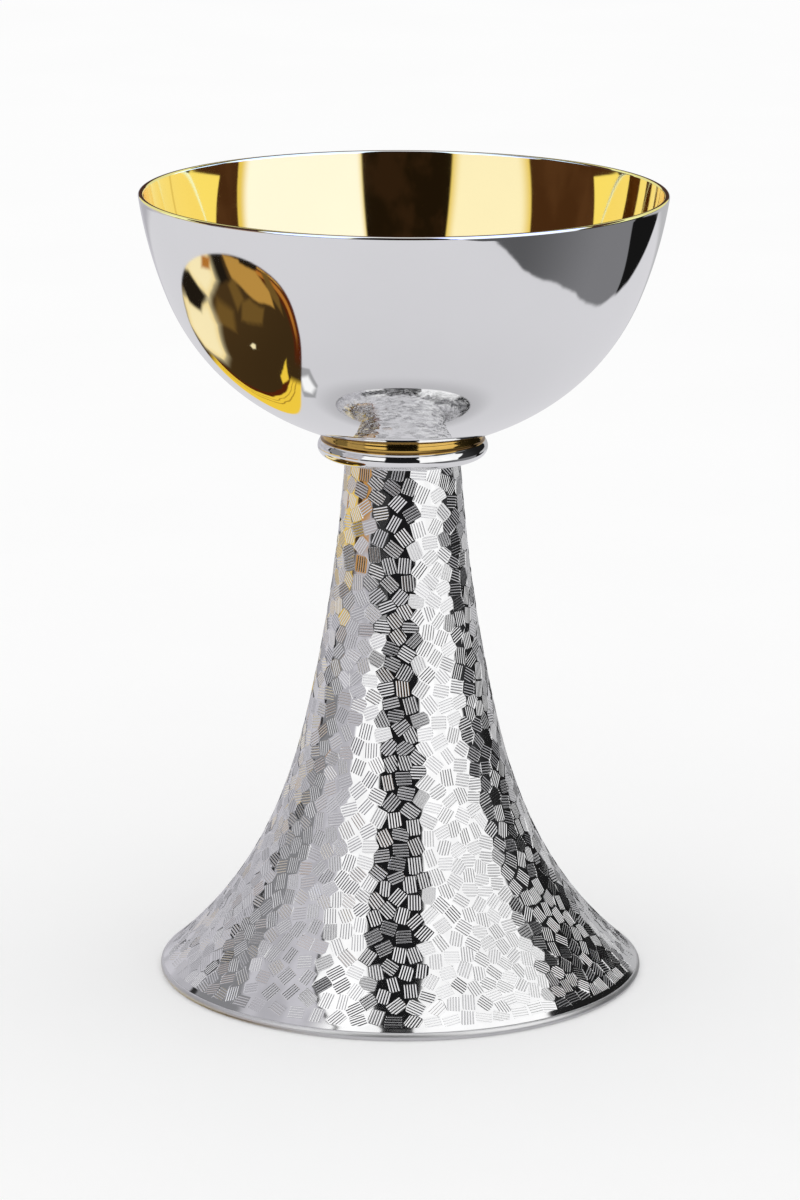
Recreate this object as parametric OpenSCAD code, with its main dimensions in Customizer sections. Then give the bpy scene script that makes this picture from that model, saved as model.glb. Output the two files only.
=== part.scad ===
// Communion chalice: a silver cup, gilt inside, screwed to a punched trumpet foot.
// Millimetres. +Z is up. The origin is the centre of the base, on the table.
//
// Heights grow from the table: base ring, foot, collar, cup. Every section is drawn in the
// X-Z half plane (x is the radius) and turned about Z. Each piece is a separate solid.

/* [Foot] */
// Outside diameter of the base ring
base_d = 121.5; // [120.5:0.1:123]
// Height of the base ring
base_h = 2; // [1.6:0.1:2.4]
// Width of the flat face that the chalice rests on
base_rest_w = 2.2; // [1.8:0.1:3]
// How far the base ring stands out past the foot's lower edge
base_proud = 0.75; // [0.5:0.05:1]
// Height of the foot's top edge above the table
foot_h = 132.4; // [130:0.1:136]
// Thickness of the foot's sheet
foot_t = 1; // [0.8:0.05:1.2]
// Lean of the foot's wall from the vertical: at the base, two joins, and the neck
flare_angles = [49.7, 23.2, 13.5, 5]; // [1:0.1:60]
// Radius of each hollow arc of the flare, from the base up
flare_radii = [102, 140, 400]; // [90:1:420]

/* [Collar] */
// Radius of the circle that the half-round bead's centre runs on
bead_centre_r = 18.7; // [18.3:0.1:19.2]
// Radius of the bead's round section
bead_r = 2.4; // [2.3:0.05:2.6]
// Height of the collar's top face above the bead's centre
collar_top = 1.7; // [1.5:0.05:1.8]
// Depth of the round recess in the collar that centres the gilt ring
register_depth = 1.2; // [1:0.1:1.4]
// Radius of that recess
register_r = 17; // [16.5:0.1:17.2]
// Radius of the hollow moulding round the gilt ring
cove_r = 1.9; // [1.8:0.05:2.2]

/* [Cup] */
// Outside diameter of the cup at the rim
cup_d = 130; // [128:0.5:132]
// Lean of the wall at the rim, from the vertical
rim_angle = 8.5; // [8:0.1:9]
// Lean of the wall where the gentle upper arc meets the side arc
wall_angle = 22; // [21:0.5:23]
// Radius of the gentle upper arc
wall_r = 108; // [104:1:112]
// Radius of the side arc
side_r = 57.55; // [57:0.05:58]
// Lean of the wall where the side arc meets the bottom arc
bottom_angle = 56; // [54:0.5:58]
// Height of the cup's lowest point above the foot's top edge
cup_rise = 3.05; // [2.9:0.05:3.1]
// Thickness of the cup's silver wall
cup_t = 1.1; // [0.9:0.05:1.3]
// Thickness of the gilt lining
lining_t = 0.2; // [0.15:0.05:0.3]

/* [Screw] */
// Diameter of the stud's M10 thread
stud_d = 10; // [10]
// Length of stud that is screwed into the bush when the cup is tight
stud_grip = 12; // [10.5:0.5:12]
// Length of stud that shows below the bush
stud_proud = 1; // [0.5:0.1:1.5]
// Length of stud inside the boss
stud_root = 4; // [3.5:0.1:4.2]
// Radial gap round everything that turns or slides
running_gap = 0.05; // [0.03:0.01:0.08]

/* [Hidden] */

silver = [0.80, 0.80, 0.83];
punched_silver = [0.66, 0.66, 0.69];
gilt = [0.90, 0.69, 0.26];
brass = [0.78, 0.66, 0.38];
steel = [0.55, 0.56, 0.58];

arc_fn = 720;      // sides of the large circles that cut the boss and the gilt ring
turn_fn = 180;     // sides of every turned piece
wall_step = 1.5;   // degrees of arc between two points of a wall's outline
round_step = 15;   // the same for the rim's round, whose radius is under a millimetre
trim_angle = 2;    // the foot's lowest arc runs on this far, then is cut level
boss_gap = 0.35;   // room between the boss and the inside of the neck
bush_gap = 0.02;   // solder film round the bush
barrel_wall = 4;   // thickness of the bush's lower barrel round the thread
boss_depth = 2;    // how far the boss reaches down into the neck
lip_h = 0.25;      // upright edge at the gilt ring's foot
cove_drop = 0.1;   // the cove's centre sits this far above the ring's outer top edge
end_chamfer = 1;   // chamfer on the stud's lower end

// A point on a circle, at an angle from the +X axis
function on_arc(centre, r, angle) = centre + r * [cos(angle), sin(angle)];

// Points along an arc, without its last one, so that arcs can follow each other
function arc(centre, r, from, to, step = wall_step) =
    let (steps = ceil(abs(to - from) / step))
    [for (i = [0 : steps - 1]) on_arc(centre, r, from + (to - from) * i / steps)];

// Foot: each hollow arc has its centre outside the wall, and starts where the last one ends.
// A wall that leans by an angle has its normal at that angle above the horizontal.
base_edge_r = base_h / 2;
base_centre_r = base_d / 2 - base_edge_r;
flare_0 = [base_d / 2 - base_proud, base_h];
flare_c1 = on_arc(flare_0, flare_radii[0], flare_angles[0]);
flare_1 = on_arc(flare_c1, -flare_radii[0], flare_angles[1]);
flare_c2 = on_arc(flare_1, flare_radii[1], flare_angles[1]);
flare_2 = on_arc(flare_c2, -flare_radii[1], flare_angles[2]);
flare_c3 = on_arc(flare_2, flare_radii[2], flare_angles[2]);
flare_3 = on_arc(flare_c3, -flare_radii[2], flare_angles[3]);
neck_angle = flare_angles[3];
neck_wall = foot_t / cos(neck_angle);    // the wall's width when cut level
neck_r = flare_3[0] - (foot_h - flare_3[1]) * tan(neck_angle);
function neck_bore_r(z) = neck_r - neck_wall + (foot_h - z) * tan(neck_angle);

// The foot's outside face, moved inwards by a depth, from the base up
function foot_face(depth) = concat(
    arc(flare_c1, flare_radii[0] + depth, 180 + flare_angles[0] + trim_angle, 180 + flare_angles[1]),
    arc(flare_c2, flare_radii[1] + depth, 180 + flare_angles[1], 180 + flare_angles[2]),
    arc(flare_c3, flare_radii[2] + depth, 180 + flare_angles[2], 180 + flare_angles[3]),
    [on_arc(flare_3, -depth, neck_angle), [neck_r - depth / cos(neck_angle), foot_h]]
);

// Collar: the bead's lowest point is level with the foot's top edge
bead_z = foot_h + bead_r;
collar_z = bead_z + collar_top;
collar_edge_r = bead_centre_r + sqrt(pow(bead_r, 2) - pow(collar_top, 2));
register_z = collar_z - register_depth;

// Boss, bush and stud
boss_z = foot_h - boss_depth;
boss_r = neck_bore_r(foot_h) - boss_gap;
socket_r = boss_r + running_gap;
stud_r = stud_d / 2;
bush_z = boss_z - stud_grip;
barrel_r = stud_r + barrel_wall;

// Cup: the outside of the wall, from the rim down
cup_low_z = foot_h + cup_rise;
rim_round_r = (cup_t + lining_t) / 2;
wall_foot_r = cup_d / 2 - rim_round_r * (1 - cos(rim_angle)) - wall_r * (cos(rim_angle) - cos(wall_angle));
side_c_r = wall_foot_r - side_r * cos(wall_angle);
join_r = side_c_r + side_r * cos(bottom_angle);
bottom_r = join_r / cos(bottom_angle);
bottom_c = [0, cup_low_z + bottom_r];
side_c = [side_c_r, bottom_c[1] - (bottom_r - side_r) * sin(bottom_angle)];
wall_c = on_arc(side_c, side_r - wall_r, -wall_angle);
wall_top = on_arc(wall_c, wall_r, -rim_angle);
rim_round_c = on_arc(wall_top, -rim_round_r, -rim_angle);
function cup_z(r) = bottom_c[1] - sqrt(pow(bottom_r, 2) - pow(r, 2));

// The cup's outside face, moved inwards by a depth, from the foot of the rim's round to the axis
function cup_face(depth) = concat(
    arc(wall_c, wall_r - depth, -rim_angle, -wall_angle),
    arc(side_c, side_r - depth, -wall_angle, -bottom_angle),
    arc(bottom_c, bottom_r - depth, -bottom_angle, -90),
    [bottom_c - [0, bottom_r - depth]]
);

// Gilt ring: its outer top edge touches the cup, and a cove joins that edge to the lip
gilt_top_r = collar_edge_r - 1;
cove_c = [gilt_top_r + cove_r, cup_z(gilt_top_r) + cove_drop];

// Turns a section about Z
module turned() {
    rotate_extrude($fn = turn_fn) children();
}

// A rectangle between two radii and two heights
module ring_block(r_in, r_out, z_low, z_high) {
    translate([r_in, z_low]) square([r_out - r_in, z_high - z_low]);
}

// A wall between two faces whose points run the same way
module wall(face_a, face_b) {
    polygon(concat(face_a, [for (i = [len(face_b) - 1 : -1 : 0]) face_b[i]]));
}

// Half-round ring soldered under the foot's edge, flat where it rests on the table
module foot_base_ring() {
    color(silver) turned() {
        ring_block(base_centre_r - base_rest_w, base_centre_r, 0, base_h);
        translate([base_centre_r, base_edge_r]) circle(r = base_edge_r, $fn = turn_fn);
    }
}

// Hollow trumpet of sheet silver: three tangent hollow arcs, then a straight neck
module foot_shell() {
    color(punched_silver) turned() intersection() {
        wall(foot_face(0), foot_face(foot_t));
        ring_block(0, base_d, base_h, foot_h);
    }
}

// Taper bush soldered inside the neck: the female thread that holds the cup
module neck_bush() {
    taper_z = flare_3[1];
    color(brass) turned() difference() {
        union() {
            polygon([
                [0, taper_z], [neck_bore_r(taper_z) - bush_gap, taper_z],
                [neck_bore_r(boss_z) - bush_gap, boss_z], [0, boss_z]
            ]);
            ring_block(0, barrel_r, bush_z, taper_z);
        }
        ring_block(0, stud_r + running_gap, bush_z, boss_z);
    }
}

// Half-round silver ring on the neck, recessed on top for the gilt ring
module silver_collar_ring() {
    color(silver) turned() {
        ring_block(socket_r, bead_centre_r, foot_h, register_z);
        ring_block(register_r + running_gap, bead_centre_r, register_z, collar_z);
        intersection() {
            translate([bead_centre_r, bead_z]) circle(r = bead_r, $fn = turn_fn);
            ring_block(bead_centre_r, bead_centre_r + bead_r, foot_h, collar_z);
        }
    }
}

// Loose gilt ring between collar and cup: a register below, a cove outside, and a top face
// that follows the cup
module gilt_collar_ring() {
    color(gilt) turned() difference() {
        union() {
            ring_block(socket_r, register_r, register_z, collar_z + lip_h);
            ring_block(socket_r, collar_edge_r, collar_z, cup_z(collar_edge_r));
        }
        translate(bottom_c) circle(r = bottom_r + running_gap, $fn = arc_fn);
        translate(cove_c) circle(r = cove_r, $fn = turn_fn);
    }
}

// Turned boss soldered under the cup, dished to the cup's curve and drilled for the stud
module cup_boss() {
    color(brass) turned() difference() {
        ring_block(0, boss_r, boss_z, cup_z(boss_r));
        translate(bottom_c) circle(r = bottom_r, $fn = arc_fn);
        ring_block(0, stud_r, boss_z, boss_z + stud_root);
    }
}

// Stud fixed in the boss. Its thread is held as a plain shaft at the thread's outside diameter.
module threaded_stud() {
    low_z = bush_z - stud_proud;
    color(steel) turned() polygon([
        [0, low_z], [stud_r - end_chamfer, low_z], [stud_r, low_z + end_chamfer],
        [stud_r, boss_z + stud_root], [0, boss_z + stud_root]
    ]);
}

// Silver bowl with a full-round rim that covers the lining's edge
module cup_shell() {
    rim_round = arc(rim_round_c, rim_round_r, 180 - rim_angle, -rim_angle, round_step);
    color(silver) turned() wall(concat(rim_round, cup_face(0)), cup_face(cup_t));
}

// Gilt layer on the inside of the bowl, up to the rim's round edge
module cup_lining() {
    color(gilt) turned() wall(cup_face(cup_t), cup_face(cup_t + lining_t));
}

foot_base_ring();
foot_shell();
neck_bush();
silver_collar_ring();
gilt_collar_ring();
cup_boss();
threaded_stud();
cup_shell();
cup_lining();
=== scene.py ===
"""The looks of the communion chalice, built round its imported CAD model.

Metres, in the frame of the CAD: the axis of every turned piece is Z, and the base stands on z = 0.
Sections come from the CAD nodes themselves, so no piece can leave its place.
"""

import math
import random
from itertools import groupby, product

import bpy
import numpy as np
from mathutils import Matrix, Vector
from mathutils.geometry import delaunay_2d_cdt


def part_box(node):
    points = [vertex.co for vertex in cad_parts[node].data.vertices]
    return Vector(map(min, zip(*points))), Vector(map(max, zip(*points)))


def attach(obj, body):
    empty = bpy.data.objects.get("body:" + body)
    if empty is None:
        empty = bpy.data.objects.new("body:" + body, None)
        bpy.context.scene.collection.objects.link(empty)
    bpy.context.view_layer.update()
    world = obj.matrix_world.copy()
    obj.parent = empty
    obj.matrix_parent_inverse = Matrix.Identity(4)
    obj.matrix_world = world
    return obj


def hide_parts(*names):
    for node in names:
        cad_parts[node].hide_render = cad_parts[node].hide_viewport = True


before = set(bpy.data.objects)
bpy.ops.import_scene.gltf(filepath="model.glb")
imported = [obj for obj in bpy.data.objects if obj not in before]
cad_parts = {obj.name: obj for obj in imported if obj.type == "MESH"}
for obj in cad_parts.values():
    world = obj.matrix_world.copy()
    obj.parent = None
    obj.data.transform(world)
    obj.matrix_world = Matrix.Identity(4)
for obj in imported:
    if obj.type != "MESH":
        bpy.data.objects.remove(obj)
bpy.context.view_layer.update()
rng = random.Random(7)
MM = 0.001
TURN = 2 * math.pi
SAME_RING = 6e-6       # vertices whose radius and height agree this closely are on one ring
RING_SHARE = 0.3       # two rings are neighbours when they share this part of the usual number of faces
ON_AXIS = 1e-7


# ---------------- sections of the turned nodes
def outline(node):
    """The section of a turned CAD node: its corner rings, in order round it, as radius and height."""
    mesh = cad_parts[node].data
    co = np.array([v.co for v in mesh.vertices], float)
    rz = np.stack([np.hypot(co[:, 0], co[:, 1]), co[:, 2]], 1)
    rows, ring = [], np.zeros(len(rz), int)
    for i, p in enumerate(np.round(rz, 6)):
        near = [k for k, q in enumerate(rows) if max(abs(q[0] - p[0]), abs(q[1] - p[1])) < SAME_RING]
        ring[i] = near[0] if near else len(rows)
        if not near:
            rows.append(tuple(p))
    shared = {}
    for face in mesh.polygons:
        pair = tuple(sorted({int(ring[i]) for i in face.vertices}))
        if len(pair) == 2:
            shared[pair] = shared.get(pair, 0) + 1
    need = RING_SHARE * np.median(sorted(shared.values())[-len(rows):])
    beside = {k: [] for k in range(len(rows))}
    for (a, b), n in shared.items():
        if n >= need:
            beside[a].append(b)
            beside[b].append(a)
    ends = [k for k, v in beside.items() if len(v) == 1]
    start = min(ends or [k for k in beside if beside[k]], key=lambda k: (rows[k][1], rows[k][0]))
    path, last = [start], None
    while True:
        onward = [k for k in beside[path[-1]] if k != last and k not in path[1:]]
        if not onward or onward[0] == start:
            break
        last = path[-1]
        path.append(onward[0])
    return np.array([rows[k] for k in path])


def refine(points, step, closed=False, corner=24):
    """Points set closer along a smooth curve through a section, and which of them are hard corners: those are
    the section's turns sharper than corner degrees."""
    n = len(points)
    way = np.diff(np.vstack([points, points[:1]]) if closed else points, axis=0)
    heading = np.unwrap(np.arctan2(way[:, 1], way[:, 0]))
    sharp = np.zeros(n, bool)
    for i in range(n):
        if closed or 0 < i < n - 1:
            turn = heading[i % len(way)] - heading[i - 1]
            sharp[i] = abs((turn + math.pi) % TURN - math.pi) > math.radians(corner)
        else:
            sharp[i] = True
    out, hard = [], []
    for i in range(len(way)):
        a, b = points[i], points[(i + 1) % n]
        length = np.linalg.norm(b - a)
        before = a - (b - a) if sharp[i] else points[i - 1]
        after = b + (b - a) if sharp[(i + 1) % n] else points[(i + 2) % n]
        ta = (b - a) if sharp[i] else (b - before) / (length + np.linalg.norm(a - before)) * length
        tb = (b - a) if sharp[(i + 1) % n] else (after - a) / (length + np.linalg.norm(after - b)) * length
        if sharp[i] and not sharp[(i + 1) % n]:
            ta = 2 * (b - a) - tb if length < 4 * step else ta
        if sharp[(i + 1) % n] and not sharp[i]:
            tb = 2 * (b - a) - ta if length < 4 * step else tb
        parts = max(1, math.ceil(length / step))
        for k in range(parts):
            t = k / parts
            h = (2 * t**3 - 3 * t**2 + 1, t**3 - 2 * t**2 + t, 3 * t**2 - 2 * t**3, t**3 - t**2)
            out.append(h[0] * a + h[1] * ta + h[2] * b + h[3] * tb)
            hard.append(bool(sharp[i]) and k == 0)
    if not closed:
        out.append(points[-1])
        hard.append(True)
    return np.array(out), hard


def smooth_mesh(name, verts, faces):
    mesh = bpy.data.meshes.new(name)
    mesh.from_pydata(verts, [], faces)
    mesh.update()
    mesh.shade_smooth()
    return mesh


def add_object(name, data, body, stands_for):
    piece = bpy.data.objects.new(name, data)
    bpy.context.scene.collection.objects.link(piece)
    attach(piece, body)
    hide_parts(*stands_for)
    return piece


def turned(name, points, hard, body, stands_for, closed=True, segments=288):
    """A section turned about Z. Rings marked hard get a sharp edge. A point on the axis is one vertex."""
    area = sum(a[0] * b[1] - b[0] * a[1] for a, b in zip(points, np.roll(points, -1, axis=0)))
    if area < 0:
        points, hard = points[::-1], hard[::-1]
    angles = np.arange(segments) * TURN / segments
    verts, rings = [], []
    for r, z in points:
        if r < ON_AXIS:
            rings.append([len(verts)] * segments)
            verts.append((0.0, 0.0, z))
        else:
            rings.append(list(range(len(verts), len(verts) + segments)))
            verts += [(r * math.cos(t), r * math.sin(t), z) for t in angles]
    faces = []
    count = len(rings)
    for i in range(count if closed else count - 1):
        low, high = rings[i], rings[(i + 1) % count]
        for j in range(segments):
            k = (j + 1) % segments
            corners = []
            for c in (low[j], low[k], high[k], high[j]):
                if c not in corners:
                    corners.append(c)
            if len(corners) > 2:
                faces.append(corners)
    mesh = smooth_mesh(name, verts, faces)
    edge_of = {tuple(sorted(e.vertices)): e for e in mesh.edges}
    for i, ring in enumerate(rings):
        if hard[i] and ring[0] != ring[1]:
            for j in range(segments):
                edge_of[tuple(sorted((ring[j], ring[(j + 1) % segments])))].use_edge_sharp = True
    return add_object(name, mesh, body, stands_for)


def turned_node(name, node, body, step, closed=True, segments=288):
    """A turned CAD node made smooth. The section of one that isn't closed starts and ends on the axis."""
    section = outline(node)
    if not closed:
        section = np.vstack([[0, section[0][1]], section, [0, section[-1][1]]])
    points, hard = refine(section, step, closed)
    return turned(name, points, hard, body, [node], closed, segments)


# ---------------- the punched foot
# Lengths here are in mm, on the wall's surface.
MARK_CELL = 14.9 * MM * MM   # surface that one punch mark takes, in square metres
MARK_LONG = (4.0, 4.6)       # the punch's face: length and width of its square-ended block
MARK_WIDE = (3.3, 3.7)
MARK_INSET = 0.03            # the thin raised line left between two marks, half of it
LEAST_MARK = 2.5             # square mm: a cell with less room than this stays plain
LEAST_CELL = 3.0
GROOVE_COUNT = (5, 5, 6)     # drawn from
GROOVE_PITCH = 0.69          # between the punch's teeth
GROOVE_WIDE = 0.39
GROOVE_DEEP = 0.095
GROOVE_STRAY = 0.08          # how far the set of grooves may be off the mark's middle
GROOVE_SHORT = 0.3           # a groove is this much shorter than the punch's face
GROOVE_EDGE = 0.05           # and stays this far inside the mark
LEAST_GROOVE = 0.14          # square mm
VALLEY_CUT = 0.13            # the valley line stops this far from the groove's ends
ANGLE_TRIES = 8              # angles tried for a mark, and how far chance may outweigh the fit, in square mm
ANGLE_LUCK = 2.2
PLAIN_EDGE = 1.1             # plain border above the base
EDGE_GAP, TOP_GAP = 0.35, 0.05   # a mark keeps at least this far from the lower and upper borders
TILT = 2.0                   # degrees that a mark's floor may lean
FLOOR_RANK = 4               # percent of a mark's points that lie deeper than its floor before it is levelled
WALL_LEAN = math.radians(46)   # a groove is a round hollow: its wall's lean at the brim and at the bottom
VALLEY_LEAN = math.radians(10)
CELL_LIMIT = 18              # side of a square that holds any cell
BORDER_SNAP = 0.03           # a cell corner this close to a border is put on it
CORNER_WELD = 0.09 * MM      # cell corners closer than this, in metres, become one
SAME_PLACE = 0.002 * MM      # vertices that fall in one box of this size, in metres, become one
EDGE_RINGS = 4               # rings across the plain border
# The pattern is worked out in u and v (see FootSkin). So that cells close over the seam and at the borders,
# strips this wide are repeated round the seam and mirrored in the borders.
SEAM_STRIP, MIRROR_STRIP = 0.9, 0.6
RELAX_ROUNDS = 9


class FootSkin:
    """The foot's outside face in coordinates that keep angles: u round the axis, v up the wall."""

    def __init__(self, points):
        fine, _ = refine(points, 0.25 * MM, corner=60)
        way = np.diff(fine, axis=0)
        length = np.hypot(way[:, 0], way[:, 1])
        self.s = np.concatenate([[0], np.cumsum(length)])
        self.r, self.z = fine[:, 0], fine[:, 1]
        self.v = np.concatenate([[0], np.cumsum(length * 2 / (self.r[1:] + self.r[:-1]))])
        slope = np.gradient(fine, self.s, axis=0)
        slope /= np.linalg.norm(slope, axis=1)[:, None]
        self.nr, self.nz = slope[:, 1], -slope[:, 0]
        self.area = np.concatenate([[0], np.cumsum(length * math.pi * (self.r[1:] + self.r[:-1]))])
        self.low = float(np.interp(self.s[0] + PLAIN_EDGE * MM, self.s, self.v))   # the marks' borders
        self.high = self.v[-1]

    def place(self, u, v):
        r, z = np.interp(v, self.v, self.r), np.interp(v, self.v, self.z)
        return np.stack([r * np.cos(u), r * np.sin(u), z], -1)

    def normal(self, u, v):
        nr, nz = np.interp(v, self.v, self.nr), np.interp(v, self.v, self.nz)
        n = np.stack([nr * np.cos(u), nr * np.sin(u), nz], -1)
        return n / np.linalg.norm(n, axis=-1, keepdims=True)

    def radius(self, v):
        return float(np.interp(v, self.v, self.r))

    def section(self, s):
        """Radius, height and the normal's two parts at a length s along the section."""
        return [float(np.interp(s, self.s, values)) for values in (self.r, self.z, self.nr, self.nz)]


def voronoi(points, skin):
    """Each point's cell as the numbers of its corners in order, and where the corners are."""
    u = points[:, 0]
    everything = [points]
    for shift, part in ((TURN, u < SEAM_STRIP), (-TURN, u > TURN - SEAM_STRIP)):
        everything.append(points[part] + [shift, 0])
    body = np.vstack(everything)
    low = body[body[:, 1] < skin.low + MIRROR_STRIP] * [1, -1] + [0, 2 * skin.low]
    high = body[body[:, 1] > skin.high - MIRROR_STRIP] * [1, -1] + [0, 2 * skin.high]
    body = np.vstack([body, low, high])
    made = delaunay_2d_cdt([Vector(p) for p in body], [], [], 0, 1e-9)
    spots = np.array([tuple(p) for p in made[0]])
    tri = np.array(made[2])
    # a cell's corners are the middles of the circles round the triangles that meet at its point
    a, b, c = spots[tri[:, 0]], spots[tri[:, 1]], spots[tri[:, 2]]
    ab, ac = b - a, c - a
    d = 2 * (ab[:, 0] * ac[:, 1] - ab[:, 1] * ac[:, 0])
    ab2, ac2 = (ab**2).sum(1), (ac**2).sum(1)
    ok = np.abs(d) > 1e-14
    d = np.where(ok, d, 1)
    centre = a + np.stack([(ac[:, 1] * ab2 - ab[:, 1] * ac2) / d, (ab[:, 0] * ac2 - ac[:, 0] * ab2) / d], 1)
    origin = {k: i for i, sources in enumerate(made[3]) for k in sources}
    around = {}
    for f, t in enumerate(tri):
        for k in t:
            around.setdefault(int(k), []).append(f)
    cells = []
    for i in range(len(points)):
        k = origin[i]
        corners = [f for f in around[k] if ok[f]]
        arms = centre[corners] - spots[k]
        order = np.argsort(np.arctan2(arms[:, 1], arms[:, 0]))
        cells.append([corners[j] for j in order])
    return cells, centre


def scatter(skin):
    """Mark centres: spread evenly over the wall's area at random, then moved to the middle of their cells."""
    a0, a1 = np.interp([skin.low, skin.high], skin.v, skin.area)
    count = int((a1 - a0) / MARK_CELL)
    areas = [a0 + (a1 - a0) * (i + rng.random()) / count for i in range(count)]
    v = np.interp(areas, skin.area, skin.v)
    u = np.array([rng.random() * TURN for _ in range(count)])
    points = np.stack([u, v], 1)
    for _ in range(RELAX_ROUNDS):
        cells, centre = voronoi(points, skin)
        for i, cell in enumerate(cells):
            here = centre[cell]
            after = np.roll(here, -1, axis=0)
            mid = (here + after + points[i]) / 3
            e, g = here - points[i], after - points[i]
            weight = np.abs(e[:, 0] * g[:, 1] - e[:, 1] * g[:, 0]) * np.interp(mid[:, 1], skin.v, skin.r) ** 2
            points[i] = (mid * weight[:, None]).sum(0) / max(weight.sum(), 1e-12)
        points[:, 0] %= TURN
    return points


def clip(poly, normal, limit):
    """The part of a convex polygon where normal . p <= limit."""
    out = []
    for i, p in enumerate(poly):
        q = poly[(i + 1) % len(poly)]
        dp = normal[0] * p[0] + normal[1] * p[1] - limit
        dq = normal[0] * q[0] + normal[1] * q[1] - limit
        if dp <= 0:
            out.append(p)
        if (dp < 0 < dq) or (dq < 0 < dp):
            t = dp / (dp - dq)
            out.append((p[0] + (q[0] - p[0]) * t, p[1] + (q[1] - p[1]) * t))
    return out


def shrink(shape, poly, inset):
    """shape cut by every side of poly, each side first moved inwards by inset."""
    n = len(poly)
    for i in range(n):
        p, q = poly[i], poly[(i + 1) % n]
        ex, ey = q[0] - p[0], q[1] - p[1]
        size = math.hypot(ex, ey)
        if size < 1e-6:
            continue
        nx, ny = ey / size, -ex / size
        shape = clip(shape, (nx, ny), nx * p[0] + ny * p[1] - inset)
        if len(shape) < 3:
            return []
    return shape


def without_short_sides(poly, least):
    out = []
    for p in poly:
        if not out or math.hypot(p[0] - out[-1][0], p[1] - out[-1][1]) > least:
            out.append(p)
    while len(out) > 2 and math.hypot(out[0][0] - out[-1][0], out[0][1] - out[-1][1]) <= least:
        out.pop()
    return out


def size_of(poly):
    return 0.5 * sum(p[0] * q[1] - q[0] * p[1] for p, q in zip(poly, poly[1:] + poly[:1]))


def block(long, wide, angle, shift=(0, 0)):
    """A rectangle's corners, anticlockwise."""
    c, s = math.cos(angle), math.sin(angle)
    out = []
    for x, y in ((-1, -1), (1, -1), (1, 1), (-1, 1)):
        px, py = x * long / 2, y * wide / 2
        out.append((shift[0] + px * c - py * s, shift[1] + px * s + py * c))
    return out


def span_inside(p, q, poly):
    """The part of segment pq inside a convex polygon, as two points, or None."""
    t0, t1 = 0.0, 1.0
    dx, dy = q[0] - p[0], q[1] - p[1]
    for a, b in zip(poly, poly[1:] + poly[:1]):
        nx, ny = b[1] - a[1], a[0] - b[0]
        top = nx * (p[0] - a[0]) + ny * (p[1] - a[1])
        rate = nx * dx + ny * dy
        if abs(rate) < 1e-12:
            if top > 0:
                return None
        elif rate > 0:
            t1 = min(t1, -top / rate)
        else:
            t0 = max(t0, -top / rate)
    if t0 >= t1:
        return None
    return (p[0] + dx * t0, p[1] + dy * t0), (p[0] + dx * t1, p[1] + dy * t1)


def groove(room, long, angle, off):
    """One groove off the mark's middle by off: its outline and its valley line, or None if it has no room."""
    c, s = math.cos(angle), math.sin(angle)
    slot = block(long - GROOVE_SHORT, GROOVE_WIDE, angle, (-off * s, off * c))
    slot = without_short_sides(shrink(slot, room, 0.0), 0.05)
    if len(slot) < 3 or size_of(slot) < LEAST_GROOVE:
        return None
    ends = [(-off * s + way * long * c, off * c + way * long * s) for way in (-1, 1)]
    line = span_inside(*ends, slot)
    if line is None:
        return None
    (ax, ay), (bx, by) = line
    length = math.hypot(bx - ax, by - ay)
    if length < 2.6 * VALLEY_CUT:
        return None
    ux, uy = (bx - ax) / length * VALLEY_CUT, (by - ay) / length * VALLEY_CUT
    return slot, [(ax + ux, ay + uy), (bx - ux, by - uy)]


def punch(cell):
    """One mark in a cell: its outline, and each groove's outline with its valley line."""
    long, wide = rng.uniform(*MARK_LONG), rng.uniform(*MARK_WIDE)
    best = None
    start = rng.random() * math.pi
    for k in range(ANGLE_TRIES):
        angle = start + k * math.pi / ANGLE_TRIES
        shape = shrink(block(long, wide, angle), cell, MARK_INSET)
        score = (size_of(shape) if shape else 0) + rng.uniform(0, ANGLE_LUCK)
        if best is None or score > best[0]:
            best = (score, angle, shape)
    _, angle, shape = best
    shape = without_short_sides(shape, 0.1)
    if len(shape) < 3 or size_of(shape) < LEAST_MARK:
        return None
    count = rng.choice(GROOVE_COUNT)
    first = -GROOVE_PITCH * (count - 1) / 2 + rng.uniform(-GROOVE_STRAY, GROOVE_STRAY)
    room = shrink(shape, shape, GROOVE_EDGE)
    if len(room) < 3:
        return shape, []
    grooves = [groove(room, long, angle, first + k * GROOVE_PITCH) for k in range(count)]
    return shape, [g for g in grooves if g]


def wall_sides(node):
    """The outer and the inner side of a hollow wall's section, each from the bottom up."""
    section = outline(node)
    low = int(np.argmax(section[:, 0]))
    top_z = section[:, 1].max()
    tops = [i for i in range(len(section)) if section[i][1] > top_z - 1e-6]
    high = max(tops, key=lambda i: section[i][0])
    twice = np.vstack([section, section])
    outer = twice[low:(high if high > low else high + len(section)) + 1]
    inner = twice[high:(low if low > high else low + len(section)) + 1]
    if outer[:, 0].mean() < inner[:, 0].mean():
        outer, inner = inner[::-1], outer[::-1]
    inner = inner[::-1] if inner[0][1] > inner[-1][1] else inner
    inner = inner[(inner[:, 0] - outer[0][0] < -1e-5) | (inner[:, 1] > outer[0][1] + 1e-5)]
    inner = inner[:-1] if abs(inner[-1][0] - outer[-1][0]) < 1e-6 else inner
    return outer, inner


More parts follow.
